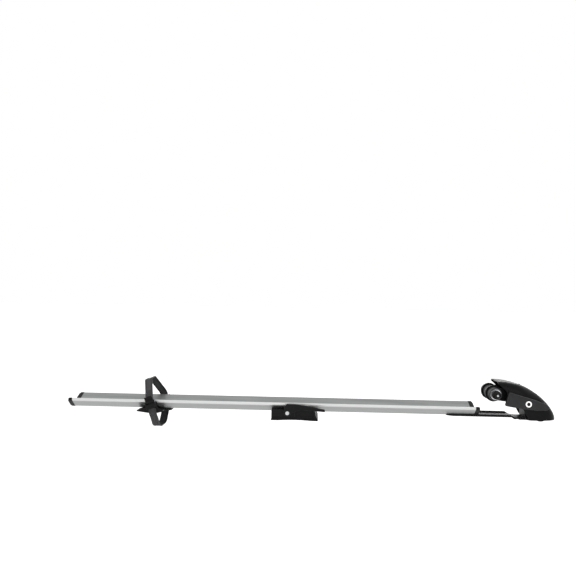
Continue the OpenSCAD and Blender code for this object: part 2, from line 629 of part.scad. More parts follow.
// Lever: an eccentric fork on the pin and a curved blade
blade_t = 4.5;
qr_half = 8;
qr_tip_half = 6;
blade_line = [[5, 0, 0], [24, 3, 30], [qr_len * 0.62, 0, 60], [qr_len - 2, -8, 0]];
module qr_lever() color(black) at_qr() difference() {
    union() {
        translate([0, -qr_throw, -qr_half]) cylinder(h = 2 * qr_half, r = qr_disc_r);
        intersection() {
            along_z(-qr_half, qr_half) blade();
            along_y(-40, 40) polygon(rounded([[-9, -qr_half, 0], [20, -qr_half, 20],
                [qr_len, -qr_tip_half, 5], [qr_len, qr_tip_half, 5], [20, qr_half, 20], [-9, qr_half, 0]]));
        }
    }
    translate([0, 0, -20]) cylinder(h = 40, r = qr_pin_r);
    translate([-12, -12, -qr_eye_half - slide_gap])
        cube([12 + qr_eye_r + 2, 24, 2 * (qr_eye_half + slide_gap)]);
}
module blade() {
    mid = open_path(blade_line);
    n = len(mid);
    function across(i) = let(u = unit(mid[min(n - 1, i + 1)] - mid[max(0, i - 1)])) [-u.y, u.x];
    polygon(concat([for (i = [0:n - 1]) mid[i] - across(i) * blade_t / 2],
        [for (i = [n - 1:-1:0]) mid[i] + across(i) * blade_t / 2]));
}
module qr_lever_pin() color(zinc) at_qr() translate([0, 0, -qr_half - 0.6])
    cylinder(h = 2 * qr_half + 1.2, r = qr_pin_r);

// Cradle section that follows the rail's flanks, with z = 0 at the rail's underside
cradle_gap = 1;
function flank_y(z) = rail_base_w / 2 + min(z, knee_h) * (rail_w - rail_base_w) / 2 / knee_h + cradle_gap;
function cradle(out, top, low) = let(half = concat([[out, low, 1], [out, top, 1], [flank_y(top), top, 0]],
    top > knee_h ? [[flank_y(knee_h), knee_h, 0]] : [], [[flank_y(-slide_gap), -slide_gap, 0]]))
    rounded(concat(half, mirrored(half)));
// T-slot shoe section
shoe_half = [[slot_w / 2 - slide_gap, -slide_gap, 0], [slot_w / 2 - slide_gap, slot_lip + slide_gap, 0],
    [slot_cavity_w / 2 - slide_gap, slot_lip + slide_gap, 0],
    [slot_cavity_w / 2 - slide_gap, slot_lip + slot_h - slide_gap, 0]];
shoe_screw_r = 3;
module shoe(x0, x1, screws) difference() {
    along_x(x0, x1) polygon(rounded(concat(shoe_half, mirrored(shoe_half))));
    for (x = screws) translate([x, 0, -1]) cylinder(h = slot_lip + slot_h + 2, r = shoe_screw_r);
}

// Mid foot, drawn from its cam pin, with z = 0 at the rail's underside
module at_foot() {
    translate([-bar_spread, 0, rail_z]) children();
}
foot_out = rail_w / 2 + 5.5;
foot_front = foot_len - foot_back;
foot_top = 9.5;
foot_pin_z = 0.8;
foot_side = [[-foot_back, -foot_drop, 0], [foot_front, -foot_drop, 0], [foot_front - 5, -2, 14],
    [foot_front - 8, foot_top, 3], [-foot_back, foot_top, 3]];
// Finger recess below the lever
recess_d = 3.5;
recess = [[20, foot_top + 5, 0], [20, -10.5, 2], [foot_front - 7, -10.5, 2],
    [foot_front - 12, foot_top + 5, 0]];
ledge_t = 2.5;
ledge = 1.8;
foot_cam_r = pin_d / 2 + foot_throw + 0.4;
cam_y = [-foot_out + 9, -foot_out + 15.5];
inner_wall = 5;
beam_half = 8;
beam_z = [-foot_drop + 1, -foot_drop + 6.5];
beam_y = [-foot_out + 9, foot_out - 17.5];
guide_y = beam_y[1] - 6;
guide_r = 3;
foot_screws_x = [-foot_back + 13, foot_front - 32];
foot_head_z = -foot_drop + 4;
pocket_half = foot_cam_r + foot_throw + 6;
module foot_body() color(black) at_foot() difference() {
    union() {
        intersection() {
            along_x(-foot_back - 1, foot_front + 1) polygon(cradle(foot_out, foot_top, -foot_drop));
            along_y(-foot_out - 1, foot_out + 1) polygon(rounded(foot_side));
        }
        along_z(-foot_drop, -foot_drop + ledge_t) translate([(foot_front - foot_back) / 2, 0])
            polygon(rounded(corners(foot_len / 2, foot_out + ledge, 4)));
        rod_y(0, foot_pin_z, pin_d / 2 + 5, -foot_out - ledge, -foot_out + 4);
    }
    along_y(-foot_out - 1, -foot_out + recess_d) polygon(rounded(recess));
    rod_y(0, foot_pin_z, pin_d / 2 + run_gap, -foot_out - 5, cam_y[1] + inner_wall + 5);
    block([-pocket_half, pocket_half], [cam_y[0] - slide_gap, cam_y[1] + slide_gap],
        [-foot_drop - 1, rail_h]);
    block([-beam_half - slide_gap, beam_half + slide_gap], [beam_y[0] - slide_gap, beam_y[1] + slide_gap],
        [-foot_drop - 1, beam_z[1] + slide_gap]);
    translate([0, guide_y, -foot_drop]) cylinder(h = rail_h, r = guide_r + run_gap);
    for (x = foot_screws_x) translate([x, 0, -foot_drop - 1]) {
        cylinder(h = rail_h, r = shoe_screw_r);
        cylinder(h = foot_head_z + foot_drop + 1 + eps, r = 2 * shoe_screw_r);
        translate([0, 0, foot_head_z + foot_drop + 1])
            cylinder(h = shoe_screw_r, r1 = 2 * shoe_screw_r, r2 = shoe_screw_r);
    }
}
pad_strip = 17;
pad_sag = 1.8;
sag_r = pow((foot_len - 2 * pad_strip) / 2, 2) / (2 * pad_sag);
neck_y = [-14, guide_y];
foot_pad_side = [[-foot_back - 2, -foot_drop - foot_pad_t, 1], [foot_front + 3, -foot_drop - foot_pad_t, 1],
    [foot_front, -foot_drop, 0], [-foot_back, -foot_drop, 0]];
module foot_pad() color(dark) at_foot() difference() {
    along_y(-foot_out - ledge, foot_out + ledge) polygon(rounded(foot_pad_side));
    rod_y((foot_front - foot_back) / 2, -foot_drop - foot_pad_t + pad_sag - sag_r, sag_r,
        -foot_out - 9, foot_out + 9, 720);
    block([-beam_half - 3, beam_half + 3], [beam_y[0] - 2, beam_y[1] + 2],
        [-foot_drop - foot_pad_t - 1, -foot_drop + 1]);
    for (x = foot_screws_x) translate([x, 0, -foot_drop - foot_pad_t - 1])
        cylinder(h = foot_pad_t + 2, r = 2 * shoe_screw_r + 1);
}
module foot_shoe() color(dark) at_foot() shoe(-foot_back + 3, foot_front - 16, foot_screws_x);
module foot_screws() color(zinc) at_foot() for (x = foot_screws_x)
    translate([x, 0, foot_head_z]) countersunk(shoe_screw_r, slot_lip + slot_h - foot_head_z - 2);
lever_y = -foot_out - ledge - slide_gap;
foot_grip = [[-pin_d / 2 - 6, -6, 5], [pin_d / 2 + 2, -10, 8], [pin_d / 2 + 8, 1, 8], [36, 10, 20],
    [foot_lever_len, 5.4, 1], [foot_lever_len, 11.6, 1], [60, 19.4, 60], [23, 24.6, 30], [-1, 25, 5],
    [-7, 19, 6], [-pin_d / 2 - 6, 4, 5]];
module foot_lever() color(black) at_foot() difference() {
    union() {
        along_y(lever_y - foot_lever_t, lever_y) polygon(rounded(foot_grip));
        rod_y(0, foot_pin_z, pin_d / 2 + 3.6, lever_y - foot_lever_t - 1, lever_y);
    }
    rod_y(0, foot_pin_z, pin_d / 2, lever_y - foot_lever_t - 2, 0);
}
pin_head_r = pin_d / 2 + 1.5;
module foot_cam_pin() color(zinc) at_foot() {
    rod_y(0, foot_pin_z, pin_d / 2, lever_y - foot_lever_t - 2, cam_y[1] + inner_wall);
    rod_y(0, foot_pin_z, pin_head_r, lever_y - foot_lever_t - 2, lever_y - foot_lever_t - 1);
    rod_y(-foot_throw * cos(cam_angle), foot_pin_z + foot_throw * sin(cam_angle), foot_cam_r,
        cam_y[0] + slide_gap, cam_y[1] - slide_gap);
}
foot_cam_x = -foot_throw * (1 + cos(cam_angle)) / 2;
foot_cam_z = foot_pin_z + foot_throw * sin(cam_angle);
foot_slot_x = foot_cam_r + foot_throw * (1 - cos(cam_angle)) / 2 + 2 * slide_gap;
foot_slot_z = foot_cam_r + slide_gap;
foot_yoke_wall = 2;
module foot_yoke() color(zinc) at_foot() along_y(cam_y[0] + slide_gap, cam_y[1] - slide_gap) difference() {
    polygon(rounded([[foot_cam_x - foot_slot_x - foot_yoke_wall, beam_z[1], 0],
        [foot_cam_x + foot_slot_x + foot_yoke_wall, beam_z[1], 0],
        [foot_cam_x + foot_slot_x + foot_yoke_wall, foot_cam_z + foot_slot_z + foot_yoke_wall, 4],
        [foot_cam_x - foot_slot_x - foot_yoke_wall, foot_cam_z + foot_slot_z + foot_yoke_wall, 4]]));
    translate([foot_cam_x, foot_cam_z]) polygon(rounded(corners(foot_slot_x, foot_slot_z, 4.5)));
}
foot_track_z = -foot_drop - foot_pad_t - track_lip;
neck_half_x = 5;
module foot_clamp_bar() color(zinc) at_foot() difference() {
    union() {
        block([-beam_half, beam_half], beam_y, beam_z);
        block([-neck_half_x, neck_half_x], neck_y, [foot_track_z - eps, beam_z[0] + eps]);
        along_z(foot_track_z - head_t, foot_track_z) polygon(rounded([for (c = [[-1, neck_y[0] - 2],
            [1, neck_y[0] - 2], [1, neck_y[1] + 2], [-1, neck_y[1] + 2]]) [c.x * head_w / 2, c.y, 4]]));
    }
    translate([0, guide_y, beam_z[0]]) cylinder(h = 20, r = guide_r);
}
module foot_guide_bolt() color(zinc) at_foot() translate([0, guide_y, beam_z[0]])
    cylinder(h = -beam_z[0] + 2, r = guide_r);

// Wheel carriage, drawn from the buckle's middle, with z = 0 at the rail's underside
module at_carriage() {
    translate([-strap_back, 0, rail_z]) children();
}
pivot_z = 12;
ear_out = rail_w / 2 + 5.5;
strap_y = ear_out + 1.5 + strap_t / 2;
ear_half = strap_w / 2 + 3;
ear_top = 22;
carriage_low = -9;
wing_rear = 41;
wing_front = 51;
module at_strap() {
    at_carriage() translate([0, 0, pivot_z]) rotate([0, -strap_lean, 0]) children();
}
function wing_side(tip, mid) = [[mid - tip, -5, 1], [mid - 10, carriage_low, 6],
    [mid + ear_half, carriage_low, 3], [mid + 30, -5, 1.5], [mid + 30, -1, 1.5],
    [mid + ear_half, 6, 6], [mid + ear_half, ear_top, 3],
    [mid - ear_half, ear_top, 3], [mid - ear_half, 6, 8], [mid - tip, -2.6, 1]];
far_x = strap_shear;
bridge_x = [-31, 47];
lug_t = 4;
lug_in = strap_w / 2 + slide_gap;
lug_r = strap_pin_d / 2 + 3;
carriage_screws_x = [-17, 35];
carriage_head_z = -5.5;
keeper_y = 50;
keeper_x = 20;
module carriage() color(black) difference() {
    union() {
        at_carriage() {
            intersection() {
                along_x(-80, 80) polygon(cradle(ear_out, ear_top, carriage_low));
                union() {
                    along_y(-ear_out - 1, -rail_base_w / 2) polygon(rounded(wing_side(wing_rear, 0)));
                    mirror([1, 0, 0]) along_y(rail_base_w / 2, ear_out + 1)
                        polygon(rounded(wing_side(wing_front - far_x, -far_x)));
                }
            }
            along_z(-6, -slide_gap) translate([(bridge_x[0] + bridge_x[1]) / 2, 0])
                polygon(rounded(corners((bridge_x[1] - bridge_x[0]) / 2, rail_base_w / 2 + 2, 4)));
        }
        at_strap() for (side = [0, 1]) translate([far_x, 0, 0]) mirror([side, 0, 0])
            along_x(lug_in, lug_in + lug_t) {
                translate([strap_y, 0]) circle(r = lug_r);
                translate([ear_out - 3, -lug_r]) square([strap_y - ear_out + 3, 2 * lug_r]);
            }
    }
    at_strap() rod_x(strap_y, 0, strap_pin_d / 2, far_x - 30, far_x + 30);
    at_strap() rod_x(strap_y, 0, strap_t + strap_pin_d / 2 + 1, far_x - lug_in, far_x + lug_in);
    at_carriage() {
        block([keeper_x - strap_w / 2 - 5 * slide_gap, keeper_x + strap_w / 2 + slide_gap],
            [keeper_y - strap_t / 2 - slide_gap, keeper_y + strap_t / 2 + slide_gap], [-20, -4]);
        for (x = carriage_screws_x) translate([x, 0, carriage_low - 1]) {
            cylinder(h = 20, r = shoe_screw_r);
            cylinder(h = carriage_head_z - carriage_low + 1 + eps, r = 2 * shoe_screw_r);
            translate([0, 0, carriage_head_z - carriage_low + 1])
                cylinder(h = shoe_screw_r, r1 = 2 * shoe_screw_r, r2 = shoe_screw_r);
        }
    }
}
module carriage_shoe() color(dark) at_carriage()
    shoe(bridge_x[0] + 2, bridge_x[1] - 2, carriage_screws_x);
module carriage_screws() color(zinc) at_carriage() for (x = carriage_screws_x)
    translate([x, 0, carriage_head_z]) countersunk(shoe_screw_r, slot_lip + slot_h - carriage_head_z - 2);
module strap_pin() color(zinc) at_strap()
    rod_x(strap_y, 0, strap_pin_d / 2, far_x - lug_in - lug_t - 0.5, far_x + lug_in + lug_t + 0.5);

// Buckle: two side walls and a front bridge, with a cam lever above
frame_in = strap_w / 2 + 2 * slide_gap;
frame_wall = 2.6;
buckle_y = strap_y + strap_t / 2 + buckle_pin_d / 2 + 2.2;
frame_out = buckle_y + 4;
frame_low = -7;
bridge_top = 4.5;
buckle_z = 9.5;
module buckle_frame() color(black) at_strap() difference() {
    union() {
        for (side = [0, 1]) mirror([side, 0, 0]) along_x(frame_in, frame_in + frame_wall)
            polygon(rounded([[-frame_out, frame_low, 2], [-ear_out, frame_low, 0], [-ear_out, 8, 0],
                [-buckle_y + 3, buckle_z + 4, 3], [-frame_out, buckle_z + 4, 3]]));
        block([-frame_in - eps, frame_in + eps], [-frame_out, -strap_y - strap_t / 2 - slide_gap],
            [frame_low, bridge_top]);
    }
    rod_x(-buckle_y, buckle_z, buckle_pin_d / 2, -30, 30);
}
module buckle_pin() color(zinc) at_strap()
    rod_x(-buckle_y, buckle_z, buckle_pin_d / 2, -frame_in - frame_wall - 0.4, frame_in + frame_wall + 0.4);
hub_w = strap_w / 2 + slide_gap;
buckle_lever_h = 26;
module buckle_lever() color(black) at_strap() difference() {
    along_x(-hub_w, hub_w) {
        translate([-buckle_y, buckle_z]) circle(r = buckle_pin_d / 2 + 1.5);
        polygon(rounded([[-frame_out, buckle_z - 2, 1.5], [-buckle_y, buckle_z - 3, 0],
            [-buckle_y + 2.2, buckle_z + 2, 0], [-buckle_y + 1.6, buckle_lever_h - 3, 1],
            [-buckle_y, buckle_lever_h, 1.5], [-frame_out - 1.5, buckle_lever_h, 1.5],
            [-frame_out, buckle_lever_h - 7, 4]]));
    }
    rod_x(-buckle_y, buckle_z, buckle_pin_d / 2 + run_gap, -30, 30);
}

// Flat band swept along a path in Y and Z, with x at each point
module band(path, xs, w, t) {
    n = len(path);
    function normal(i) = let(u = unit(path[min(n - 1, i + 1)] - path[max(0, i - 1)])) [-u.y, u.x];
    loft([for (i = [0:n - 1])
        let(p = path[i] + normal(i) * t / 2, q = path[i] - normal(i) * t / 2,
            x0 = xs[i] - w / 2, x1 = xs[i] + w / 2)
        [[x0, p.x, p.y], [x0, q.x, q.y], [x1, q.x, q.y], [x1, p.x, p.y]]]);
}
tongue_end = -3;
arch_half = 15;
arch_path = open_path([[-strap_y, tongue_end, 0], [-strap_y, 19, 16], [-arch_half, arch_h, 12],
    [arch_half, arch_h, 12], [strap_y, 17, 16], [strap_y, strap_pin_d / 2 + 0.5, 0]]);
arch_x = [for (p = arch_path) strap_shear * pow((p.x + strap_y) / (2 * strap_y), 2)];
eye_r = strap_pin_d / 2 + strap_t - 0.2;
module wheel_strap() color(dark) at_strap() difference() {
    union() {
        band(arch_path, arch_x, strap_w, strap_t);
        rod_x(strap_y, 0, eye_r, far_x - strap_w / 2, far_x + strap_w / 2);
    }
    rod_x(strap_y, 0, strap_pin_d / 2 + run_gap, far_x - 30, far_x + 30);
}
// Stowed strap end: down from the buckle, under the rail and up into its keeper
tail_top = pivot_z + tongue_end * cos(strap_lean) - strap_w / 2 * sin(strap_lean) - 2 * slide_gap;
tail_path = open_path([[-strap_y, tail_top, 0], [-strap_y, -14, 22], [-26, -tail_drop, 22],
    [20, -tail_drop, 22], [keeper_y, -14, 18], [keeper_y, -4.5, 0]]);
tail_n = len(tail_path);
tail_start = 2.6;
tail_x = [for (i = [0:tail_n - 1]) tail_start + (keeper_x - tail_start) * i / (tail_n - 1)];
module strap_tail() color(dark) at_carriage() band(tail_path, tail_x, strap_w, strap_t);

rail();
rear_end_cap();
front_end_cap();
head_frame();
tongue_screws();
tongue_nuts();
hood();
hood_screws();
head_pad_near();
head_pad_far();
cam_bushes();
lock_striker();
axle_barrel();
axle_core();
fork_seats();
cam_cap();
skewer_rod();
skewer_nut();
qr_lever();
qr_lever_pin();
clamp_lever();
cam_shaft();
shaft_clip();
lock_housing();
lock_plug();
lock_tongue();
front_yoke();
front_t_bolt();
front_adjust_nut();
foot_body();
foot_pad();
foot_shoe();
foot_screws();
foot_lever();
foot_cam_pin();
foot_yoke();
foot_clamp_bar();
foot_guide_bolt();
carriage();
carriage_shoe();
carriage_screws();
buckle_frame();
buckle_pin();
buckle_lever();
strap_pin();
wheel_strap();
strap_tail();
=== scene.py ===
import json
import math

import bmesh
import bpy
from mathutils import Matrix, Vector
from mathutils.bvhtree import BVHTree


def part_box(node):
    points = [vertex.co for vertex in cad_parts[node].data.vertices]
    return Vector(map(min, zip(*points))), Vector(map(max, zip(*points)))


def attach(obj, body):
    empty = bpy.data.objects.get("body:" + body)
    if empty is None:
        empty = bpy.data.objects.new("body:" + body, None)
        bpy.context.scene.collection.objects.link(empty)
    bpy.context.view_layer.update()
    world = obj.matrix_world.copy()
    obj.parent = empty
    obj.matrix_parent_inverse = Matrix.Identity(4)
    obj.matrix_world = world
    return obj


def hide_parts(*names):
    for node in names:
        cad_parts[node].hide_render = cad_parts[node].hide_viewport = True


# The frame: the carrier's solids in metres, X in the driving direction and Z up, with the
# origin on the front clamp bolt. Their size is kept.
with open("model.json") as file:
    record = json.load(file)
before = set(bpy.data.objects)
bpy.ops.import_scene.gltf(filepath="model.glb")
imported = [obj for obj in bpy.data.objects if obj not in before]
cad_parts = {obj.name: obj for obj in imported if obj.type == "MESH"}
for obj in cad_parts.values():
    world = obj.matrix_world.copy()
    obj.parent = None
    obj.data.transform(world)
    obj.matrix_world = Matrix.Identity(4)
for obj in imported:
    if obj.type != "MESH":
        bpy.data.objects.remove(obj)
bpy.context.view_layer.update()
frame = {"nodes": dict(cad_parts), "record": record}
scene = bpy.context.scene
scene.view_settings.view_transform = "Standard"

# The viewpoint: a level camera about two metres from the near flank of the tray, a little
# above it, with the slight turn and roll of the photograph.
cam_turn, cam_roll = 0.0366, 0.0172
cam_place = (-0.6195, -1.9285, 0.3441)
film_width, lens_length = 36, 43.75
ahead = Vector((-math.sin(cam_turn), math.cos(cam_turn), 0))
aside = Vector((math.cos(cam_turn), math.sin(cam_turn), 0))
upright = Vector((0, 0, 1))
cam_x = aside * math.cos(cam_roll) + upright * math.sin(cam_roll)
cam_y = upright * math.cos(cam_roll) - aside * math.sin(cam_roll)
cam_axes = Matrix((cam_x, cam_y, -ahead)).transposed().to_4x4()
camera = bpy.data.objects.new("viewpoint", bpy.data.cameras.new("viewpoint"))
camera.data.sensor_width, camera.data.lens = film_width, lens_length
camera.matrix_world = Matrix.Translation(cam_place) @ cam_axes
scene.collection.objects.link(camera)
scene.camera = camera

# The studio: white all round, a pale floor well below the tray, which hangs on its bars,
# large soft lamps above, behind and in front, and a low strip that lights the tray's lip.
sky_lighting, sky_seen = 0.45, 1.0
floor_z, floor_half, floor_glow_seen = -0.30, 20, 0.6
lamp_aim = Vector((-0.6, 0, 0.03))
lamps = (("overhead_lamp", (-0.6, -0.5, 1.9), (2.6, 0.6), 9),
         ("back_lamp", (-0.6, 3.0, 0.62), (3.6, 0.35), 14),
         ("front_lamp", (0.9, -2.2, 0.7), (0.8, 0.8), 5),
         ("lip_lamp", (-0.6, -1.6, -0.18), (2.8, 0.2), 1.5))


def seen_directly(tree):
    """1 for a ray that shows the white itself or its mirror image, 0 for one that is lit by it."""
    path = tree.nodes.new("ShaderNodeLightPath")
    seen = path.outputs["Is Camera Ray"]
    for other in ("Is Glossy Ray", "Is Transmission Ray"):
        either = tree.nodes.new("ShaderNodeMath")
        either.operation = "MAXIMUM"
        tree.links.new(seen, either.inputs[0])
        tree.links.new(path.outputs[other], either.inputs[1])
        seen = either.outputs[0]
    return seen


studio = bpy.data.worlds.new("studio")
studio.use_nodes = True
scene.world = studio
sky = studio.node_tree
sky_light = sky.nodes["Background"]
sky_light.inputs["Color"].default_value = (1, 1, 1, 1)
sky_level = sky.nodes.new("ShaderNodeMapRange")
sky_level.inputs["To Min"].default_value = sky_lighting
sky_level.inputs["To Max"].default_value = sky_seen
sky.links.new(seen_directly(sky), sky_level.inputs["Value"])
sky.links.new(sky_level.outputs["Result"], sky_light.inputs["Strength"])

floor_corners = ((-1, -1), (1, -1), (1, 1), (-1, 1))
floor_mesh = bpy.data.meshes.new("floor")
floor_mesh.from_pydata([(x * floor_half, y * floor_half, floor_z) for x, y in floor_corners],
                       [], [(0, 1, 2, 3)])
floor = bpy.data.objects.new("floor", floor_mesh)
scene.collection.objects.link(floor)
floor_paint = bpy.data.materials.new("floor_paint")
floor_paint.use_nodes = True
floor_tree = floor_paint.node_tree
floor_shader = floor_tree.nodes["Principled BSDF"]
floor_shader.inputs["Base Color"].default_value = (0.93, 0.93, 0.93, 1)
floor_shader.inputs["Roughness"].default_value = 0.9
floor_shader.inputs["Emission Color"].default_value = (1, 1, 1, 1)
floor_glow = floor_tree.nodes.new("ShaderNodeMapRange")
floor_glow.inputs["To Max"].default_value = floor_glow_seen
floor_tree.links.new(seen_directly(floor_tree), floor_glow.inputs["Value"])
floor_tree.links.new(floor_glow.outputs["Result"], floor_shader.inputs["Emission Strength"])
floor_mesh.materials.append(floor_paint)

for lamp_name, lamp_at, lamp_size, lamp_watts in lamps:
    lamp = bpy.data.objects.new(lamp_name, bpy.data.lights.new(lamp_name, "AREA"))
    lamp.data.shape = "RECTANGLE"
    lamp.data.size, lamp.data.size_y = lamp_size
    lamp.data.energy = lamp_watts
    lamp.location = lamp_at
    lamp.rotation_euler = (lamp_aim - lamp.location).to_track_quat("-Z", "Y").to_euler()
    lamp.visible_camera = False
    scene.collection.objects.link(lamp)

# The wheel tray: one aluminium extrusion with a dished floor, hollow flanks and a T-slot
# below, satin anodised, with the fine lengthwise lines of the die. The dish's upward faces
# inside the lips are painted darker, a painted shade, and made a little rougher, and the
# lips are painted bright, a painted highlight.
dish_half, lip_from, lip_to, dish_tilt = 0.0487, 0.0485, 0.0515, 0.2


def new_finish(name, sheen, metallic=0.0):
    finish = bpy.data.materials.new(name)
    finish.use_nodes = True
    shader = finish.node_tree.nodes["Principled BSDF"]
    shader.inputs["Specular IOR Level"].default_value = sheen
    shader.inputs["Metallic"].default_value = metallic
    return finish


def place_on(finish, output="Object"):
    return finish.node_tree.nodes.new("ShaderNodeTexCoord").outputs[output]


def part_of(finish, vector, axis):
    split = finish.node_tree.nodes.new("ShaderNodeSeparateXYZ")
    finish.node_tree.links.new(vector, split.inputs[0])
    return split.outputs[axis]


def noise(finish, scale, stretch=(1, 1, 1), detail=3.0):
    tree = finish.node_tree
    turn = tree.nodes.new("ShaderNodeMapping")
    turn.inputs["Scale"].default_value = stretch
    spots = tree.nodes.new("ShaderNodeTexNoise")
    spots.inputs["Scale"].default_value = scale
    spots.inputs["Detail"].default_value = detail
    tree.links.new(place_on(finish), turn.inputs["Vector"])
    tree.links.new(turn.outputs["Vector"], spots.inputs["Vector"])
    return spots.outputs["Fac"]


def spread(finish, pattern, low, high, start=0.3, stop=0.7):
    tree = finish.node_tree
    levels = tree.nodes.new("ShaderNodeMapRange")
    for label, level in (("From Min", start), ("From Max", stop),
                         ("To Min", low), ("To Max", high)):
        levels.inputs[label].default_value = level
    tree.links.new(pattern, levels.inputs["Value"])
    return levels.outputs["Result"]


def combine(finish, operation, first, second):
    tree = finish.node_tree
    sum_node = tree.nodes.new("ShaderNodeMath")
    sum_node.operation = operation
    for slot_in, part in zip(sum_node.inputs, (first, second)):
        if isinstance(part, (int, float)):
            slot_in.default_value = part
        else:
            tree.links.new(part, slot_in)
    return sum_node.outputs[0]


def two_tone(finish, pattern, dark, light):
    tree = finish.node_tree
    blend = tree.nodes.new("ShaderNodeValToRGB")
    for element, position, colour in zip(blend.color_ramp.elements, (0.32, 0.68), (dark, light)):
        element.position = position
        element.color = (*colour, 1)
    tree.links.new(pattern, blend.inputs["Fac"])
    return blend.outputs["Color"]


def overlay(finish, amount, under, over):
    tree = finish.node_tree
    layer = tree.nodes.new("ShaderNodeMix")
    layer.data_type = "RGBA"
    tree.links.new(amount, layer.inputs["Factor"])
    for label, colour in (("A", under), ("B", over)):
        slot_in = next(s for s in layer.inputs if s.name == label and s.type == "RGBA")
        if isinstance(colour, tuple):
            slot_in.default_value = (*colour, 1)
        else:
            tree.links.new(colour, slot_in)
    return next(s for s in layer.outputs if s.type == "RGBA")


def set_shader(finish, label, source):
    shader = finish.node_tree.nodes["Principled BSDF"]
    finish.node_tree.links.new(source, shader.inputs[label])


def raise_grain(finish, pattern, strength, height):
    tree = finish.node_tree
    relief = tree.nodes.new("ShaderNodeBump")
    relief.inputs["Strength"].default_value = strength
    relief.inputs["Distance"].default_value = height
    tree.links.new(pattern, relief.inputs["Height"])
    set_shader(finish, "Normal", relief.outputs["Normal"])


def coat(mesh, finish):
    mesh.materials.clear()
    mesh.materials.append(finish)
    return mesh


def dress(finish, *nodes):
    for name in nodes:
        coat(frame["nodes"][name].data, finish)


anodised = new_finish("anodised_extrusion", 0.5, 0.6)
die_lines = noise(anodised, 1.0, (2.5, 420, 420))
from_middle = combine(anodised, "ABSOLUTE", part_of(anodised, place_on(anodised), "Y"), 0)
between_lips = combine(anodised, "LESS_THAN", from_middle, dish_half)
upward = part_of(anodised, place_on(anodised, "Normal"), "Z")
in_dish = combine(anodised, "MULTIPLY", between_lips,
                  combine(anodised, "GREATER_THAN", upward, dish_tilt))
on_lip = spread(anodised, from_middle, 0.0, 1.0, lip_from, lip_to)
flank_skin = two_tone(anodised, noise(anodised, 1.0, (1.2, 90, 90)),
                      (0.38, 0.39, 0.385), (0.44, 0.45, 0.445))
# Painted shade: the dish's upward faces between the lips are coloured darker than the flanks.
dish_painted_shade = two_tone(anodised, noise(anodised, 1.0, (6, 45, 45), 6.0),
                       (0.27, 0.285, 0.28), (0.36, 0.375, 0.365))
# Painted highlight: the lips are coloured much paler than the flanks.
lip_painted_highlight = two_tone(anodised, noise(anodised, 1.0, (3, 200, 200)),
                    (0.70, 0.71, 0.70), (0.78, 0.79, 0.78))
flank_with_dish_shade = overlay(anodised, in_dish, flank_skin, dish_painted_shade)
set_shader(anodised, "Base Color", overlay(anodised, on_lip, flank_with_dish_shade, lip_painted_highlight))
drawn_rough = spread(anodised, die_lines, 0.38, 0.50)
dish_rough = spread(anodised, in_dish, 0.0, 0.10, 0, 1)
set_shader(anodised, "Roughness", combine(anodised, "ADD", drawn_rough, dish_rough))
raise_grain(anodised, die_lines, 0.12, 0.0002)
dress(anodised, "rail")

# The end caps: moulded nylon plugs pressed into the hollow flanks, with a thin rim round
# the end of the extrusion and the fine spark grain that hides a moulding's sink marks.
# Their edges are painted paler, partly wear from handling and partly a painted highlight.
record = frame["record"]
body_of = {node: body for body, nodes in record["behaviour"]["bodies"].items() for node in nodes}
slot_of = {piece["node"]: piece["material_slot"] for piece in record["subparts"]}
weld = 2e-6
rim_over, rim_proud = 0.003, 0.0006
end_slack, sideways, seam = 1e-4, 0.3, 0.0006


def wear_and_highlight_edges(finish, colour, paler):
    # Paler colour on the rounded edges: partly wear, partly a painted highlight.
    wear_and_sheen = finish.node_tree.nodes.new("ShaderNodeAttribute")
    wear_and_sheen.attribute_name = "worn_edge"
    patchy = spread(finish, noise(finish, 140), 0.35, 1.0)
    amount = combine(finish, "MULTIPLY", wear_and_sheen.outputs["Fac"], patchy)
    set_shader(finish, "Base Color", overlay(finish, amount, colour, paler))


def keep_piece(name, mesh, body, slot, *nodes):
    piece = bpy.data.objects.new(name, mesh)
    scene.collection.objects.link(piece)
    if nodes:
        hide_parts(*nodes)
    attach(piece, body)
    return piece


def stand_for(node, name, mesh):
    """Keeps a mesh in a solid's place and on its body."""
    return keep_piece(name, mesh, body_of[node], slot_of[node], node)


def settled(holder):
    """The mesh that an object's modifiers make of it. The object itself goes."""
    now = bpy.context.evaluated_depsgraph_get()
    mesh = bpy.data.meshes.new_from_object(holder.evaluated_get(now))
    bpy.data.objects.remove(holder)
    return mesh


def shade(mesh, sharp_angle=40):
    """Smooth shading that stays crisp at the sharp edges and flat on the flat faces."""
    mesh.shade_smooth()
    mesh.set_sharp_from_angle(angle=math.radians(sharp_angle))
    holder = bpy.data.objects.new(mesh.name, mesh)
    scene.collection.objects.link(holder)
    level = holder.modifiers.new("flat_faces", "WEIGHTED_NORMAL")
    level.keep_sharp = True
    return settled(holder)


